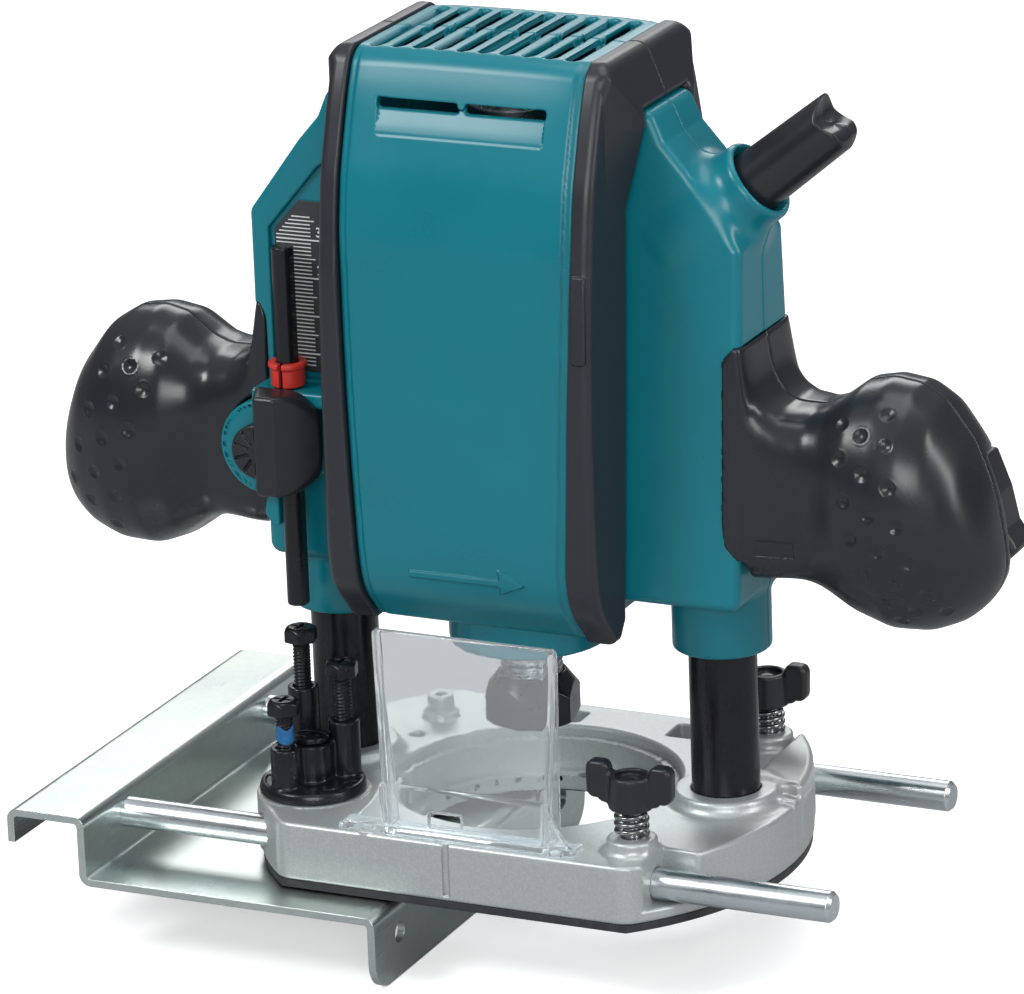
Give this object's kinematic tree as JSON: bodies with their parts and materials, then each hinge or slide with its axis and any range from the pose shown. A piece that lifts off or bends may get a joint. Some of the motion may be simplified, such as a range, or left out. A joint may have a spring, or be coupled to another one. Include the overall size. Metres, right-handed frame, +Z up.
{
  "type": "plunge router",
  "caption": "Two-handled plunge router on a round-ended cast base with guide columns, stop turret, clear chip guard, and a bent sheet edge fence on two sliding rods.",
  "frame": {"origin": "on the spindle axis, in the plane of the sole's underside", "axes": "+Z up along the spindle, +X towards the right-hand knob with the switch trigger, +Y towards the back"},
  "size_m": [0.2606, 0.129, 0.236],
  "materials": {
    "cast_aluminium": "fine cast, silver lacquered",
    "black_steel": "black oxide, semi gloss",
    "bright_steel": "ground",
    "zinc_sheet": "zinc plated, fine brushed",
    "clear_plastic": "clear, polished",
    "teal_plastic": "moulded, satin",
    "soft_black": "soft overmould, satin",
    "black_plastic": "fine moulded texture",
    "sole_black": "smooth",
    "red_plastic": "moulded",
    "scale_print": "printed",
    "copper_wire": "enamelled",
    "laminated_steel": "stamped laminations",
    "carbon": "sintered",
    "bronze": "sintered",
    "spring_steel": "drawn wire",
    "fan_plastic": "moulded"
  },
  "bodies": {
    "base": {"base_casting": "cast_aluminium", "sole_plate": "sole_black", "sole_screws": "bright_steel", "left_column": "black_steel", "right_column": "black_steel", "column_screws": "black_steel", "plunge_springs": "spring_steel", "chip_guard": "clear_plastic", "wing_springs": "spring_steel", "turret_pivot": "black_steel"},
    "motor_unit": {"front_housing": "teal_plastic", "rear_housing": "teal_plastic", "left_trim": "soft_black", "right_trim": "soft_black", "front_left_grip": "soft_black", "rear_left_grip": "soft_black", "front_right_grip": "soft_black", "rear_right_grip": "soft_black", "housing_screws": "black_steel", "depth_scale": "scale_print", "column_bushes": "bronze", "cord_guard": "soft_black", "power_cord": "soft_black", "bearing_outer_rings": "bright_steel", "bearing_retainer": "bright_steel", "fan_baffle": "black_plastic", "stator_core": "laminated_steel", "field_coils": "copper_wire", "brush_holders": "bronze", "carbon_brushes": "carbon", "switch_unit": "black_plastic", "cord_clamp": "black_plastic"},
    "rotor": {"rotor_shaft": "bright_steel", "collet_cone": "bright_steel", "bearing_inner_rings": "bright_steel", "bearing_balls": "bright_steel", "armature_core": "laminated_steel", "armature_windings": "copper_wire", "commutator": "copper_wire", "cooling_fan": "fan_plastic"},
    "nut": {"collet_nut": "black_steel"},
    "turret": {"stop_turret": "black_plastic"},
    "high_stop": {"stop_bolt_high": "black_steel"},
    "middle_stop": {"stop_bolt_middle": "black_steel"},
    "low_stop": {"stop_bolt_low": "black_steel"},
    "front_wing_bolt": {"front_wing_knob": "black_plastic", "front_wing_stud": "bright_steel"},
    "rear_wing_bolt": {"rear_wing_knob": "black_plastic", "rear_wing_stud": "bright_steel"},
    "fence": {"fence_plate": "zinc_sheet", "guide_rods": "bright_steel", "rod_screws": "bright_steel"},
    "depth_pole": {"stopper_pole": "black_steel"},
    "pointer": {"depth_pointer": "red_plastic"},
    "clamp": {"clamp_knob": "black_plastic", "clamp_screw": "bright_steel"},
    "trigger": {"switch_trigger": "black_plastic"},
    "button": {"lock_button": "black_plastic"},
    "plunge_lock": {"lock_lever": "black_plastic", "lock_screw": "black_steel"}
  },
  "joints": [
    {"name": "plunge", "type": "slide", "parent": "base", "child": "motor_unit", "axis": [0, 0, 1], "range_m": [-0.035, 0], "deforming": ["plunge_springs"]},
    {"name": "pole_slide", "type": "slide", "parent": "motor_unit", "child": "depth_pole", "axis": [0, 0, 1], "range_m": [-0.002, 0.036]},
    {"name": "pointer_slide", "type": "slide", "parent": "depth_pole", "child": "pointer", "axis": [0, 0, 1], "range_m": [0, 0.027]},
    {"name": "clamp_turn", "type": "hinge", "parent": "motor_unit", "child": "clamp", "pos_m": [-0.062, -0.024, 0.107], "axis": [0, -1, 0], "range_deg": [-45, 90]},
    {"name": "trigger_pull", "type": "slide", "parent": "motor_unit", "child": "trigger", "axis": [-1, 0, 0], "range_m": [0, 0.005]},
    {"name": "button_press", "type": "slide", "parent": "motor_unit", "child": "button", "axis": [0, -1, 0], "range_m": [0, 0.0025]},
    {"name": "lock_turn", "type": "hinge", "parent": "motor_unit", "child": "plunge_lock", "pos_m": [-0.0533, 0.02, 0.1], "axis": [0, 1, 0], "range_deg": [0, 50]},
    {"name": "spindle_spin", "type": "hinge", "parent": "motor_unit", "child": "rotor", "pos_m": [0, 0, 0.1], "axis": [0, 0, 1], "continuous": true},
    {"name": "nut_turn", "type": "hinge", "parent": "rotor", "child": "nut", "pos_m": [0, 0, 0.04], "axis": [0, 0, 1], "continuous": true},
    {"name": "turret_index", "type": "hinge", "parent": "base", "child": "turret", "pos_m": [-0.0499, -0.0287, 0.02], "axis": [0, 0, 1], "continuous": true},
    {"name": "high_stop_screw", "type": "slide", "parent": "turret", "child": "high_stop", "axis": [0, 0, 1], "range_m": [-0.008, 0.004]},
    {"name": "middle_stop_screw", "type": "slide", "parent": "turret", "child": "middle_stop", "axis": [0, 0, 1], "range_m": [-0.007, 0.005]},
    {"name": "low_stop_screw", "type": "slide", "parent": "turret", "child": "low_stop", "axis": [0, 0, 1], "range_m": [-0.005, 0.006]},
    {"name": "front_wing_turn", "type": "hinge", "parent": "base", "child": "front_wing_bolt", "pos_m": [0.045, -0.0406, 0.03], "axis": [0, 0, 1], "continuous": true},
    {"name": "rear_wing_turn", "type": "hinge", "parent": "base", "child": "rear_wing_bolt", "pos_m": [0.048, 0.0406, 0.03], "axis": [0, 0, 1], "continuous": true},
    {"name": "fence_slide", "type": "slide", "parent": "base", "child": "fence", "axis": [1, 0, 0], "range_m": [-0.045, 0]}
  ],
  "couplings": [
    {"joint": "pole_slide", "follows": "plunge", "ratio": -1}
  ]
}
